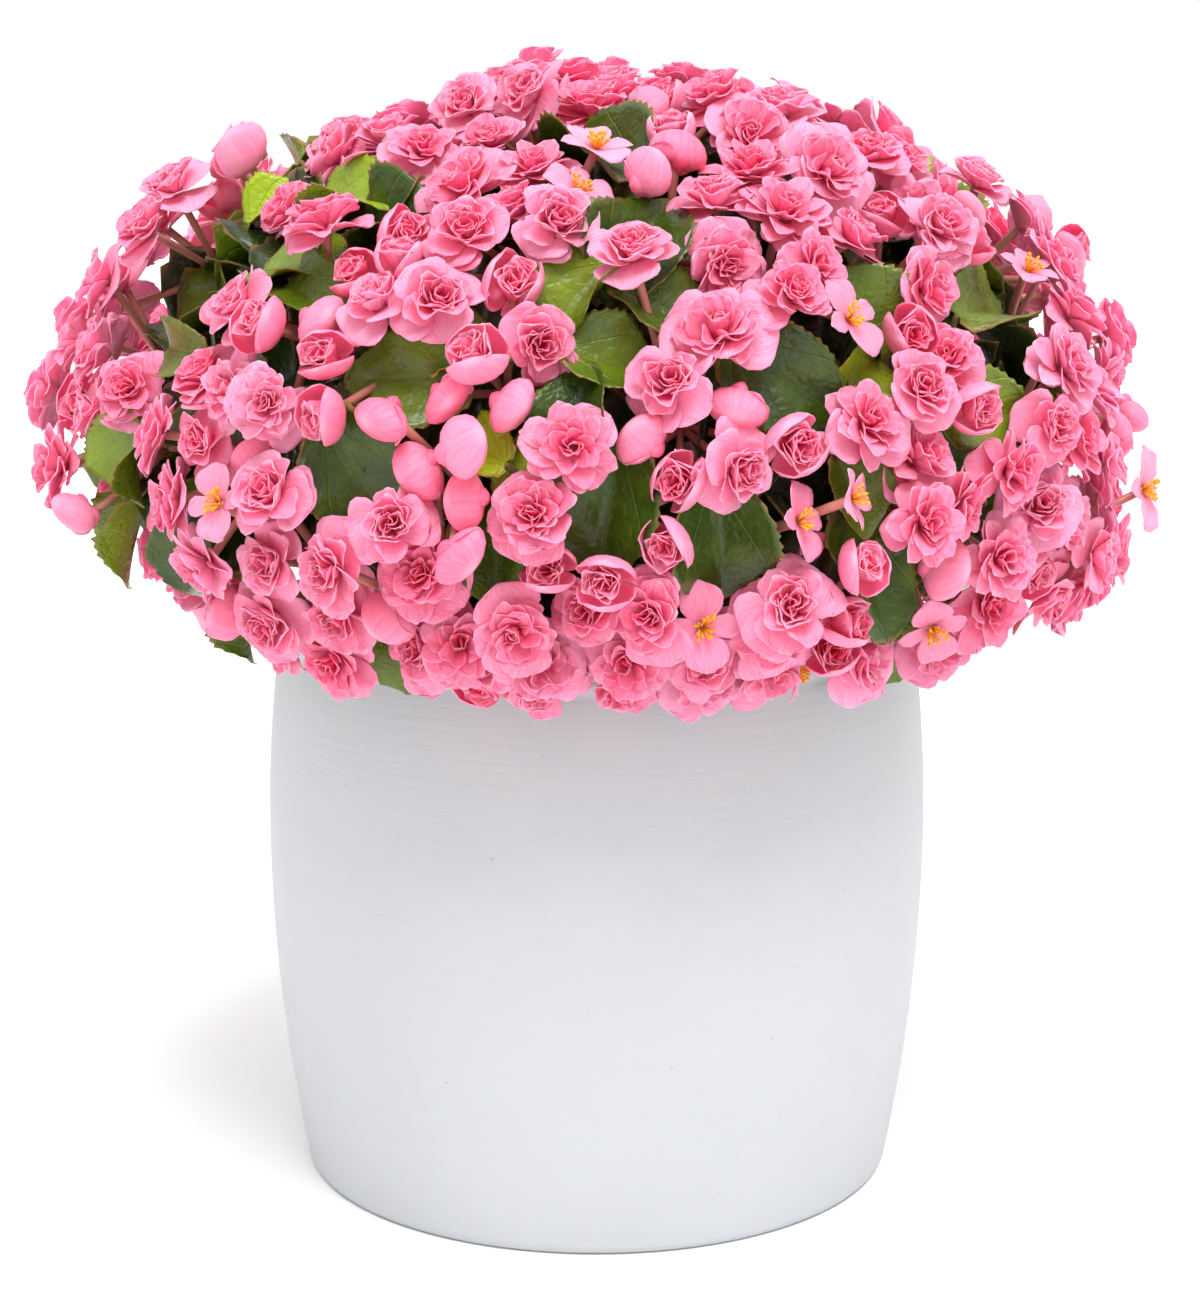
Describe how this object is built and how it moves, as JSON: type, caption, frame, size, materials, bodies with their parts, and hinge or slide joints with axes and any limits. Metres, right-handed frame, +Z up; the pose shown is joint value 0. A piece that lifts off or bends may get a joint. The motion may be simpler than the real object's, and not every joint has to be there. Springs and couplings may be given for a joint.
{
  "type": "potted begonia",
  "caption": "Double-flowered pink begonia in full bloom, a dense round mound of leaves and rosettes standing in a white barrel-shaped planter.",
  "frame": {"origin": "middle of the pot's flat foot, on the surface that it stands on", "axes": "+Z up; -Y is the front that the picture shows; +X to the right of the front"},
  "size_m": [0.4997, 0.4839, 0.505],
  "materials": {
    "pot_glaze": "satin",
    "soil": "matte",
    "foliage": "satin",
    "petals": "matte"
  },
  "bodies": {
    "root": {"pot": "pot_glaze", "soil": "soil", "bloom_bunch_01": "petals", "bloom_bunch_02": "petals", "bloom_bunch_03": "petals", "bloom_bunch_04": "petals", "bloom_bunch_05": "petals", "bloom_bunch_06": "petals", "bloom_bunch_07": "petals", "bloom_bunch_08": "petals", "bloom_bunch_09": "petals", "bloom_bunch_10": "petals", "bloom_bunch_11": "petals", "bloom_bunch_12": "petals", "bloom_bunch_13": "petals", "bloom_bunch_14": "petals", "bloom_bunch_15": "petals", "bloom_bunch_16": "petals", "bloom_bunch_17": "petals", "bloom_bunch_18": "petals", "bloom_bunch_19": "petals", "bloom_bunch_20": "petals", "bloom_bunch_21": "petals", "bloom_bunch_22": "petals", "bloom_bunch_23": "petals", "bloom_bunch_24": "petals", "bloom_bunch_25": "petals", "bloom_bunch_26": "petals", "bloom_bunch_27": "petals", "bloom_bunch_28": "petals", "bloom_bunch_29": "petals", "bloom_bunch_30": "petals", "bloom_bunch_31": "petals", "bloom_bunch_32": "petals", "bloom_bunch_33": "petals", "bloom_bunch_34": "petals", "bloom_bunch_35": "petals", "bloom_bunch_36": "petals", "bloom_bunch_37": "petals", "bloom_bunch_38": "petals", "leafy_stem_01": "foliage", "leafy_stem_02": "foliage", "leafy_stem_03": "foliage", "leafy_stem_04": "foliage", "leafy_stem_05": "foliage", "leafy_stem_06": "foliage", "leafy_stem_07": "foliage", "leafy_stem_08": "foliage", "leafy_stem_09": "foliage", "leafy_stem_10": "foliage", "leafy_stem_11": "foliage", "leafy_stem_12": "foliage"}
  },
  "joints": []
}
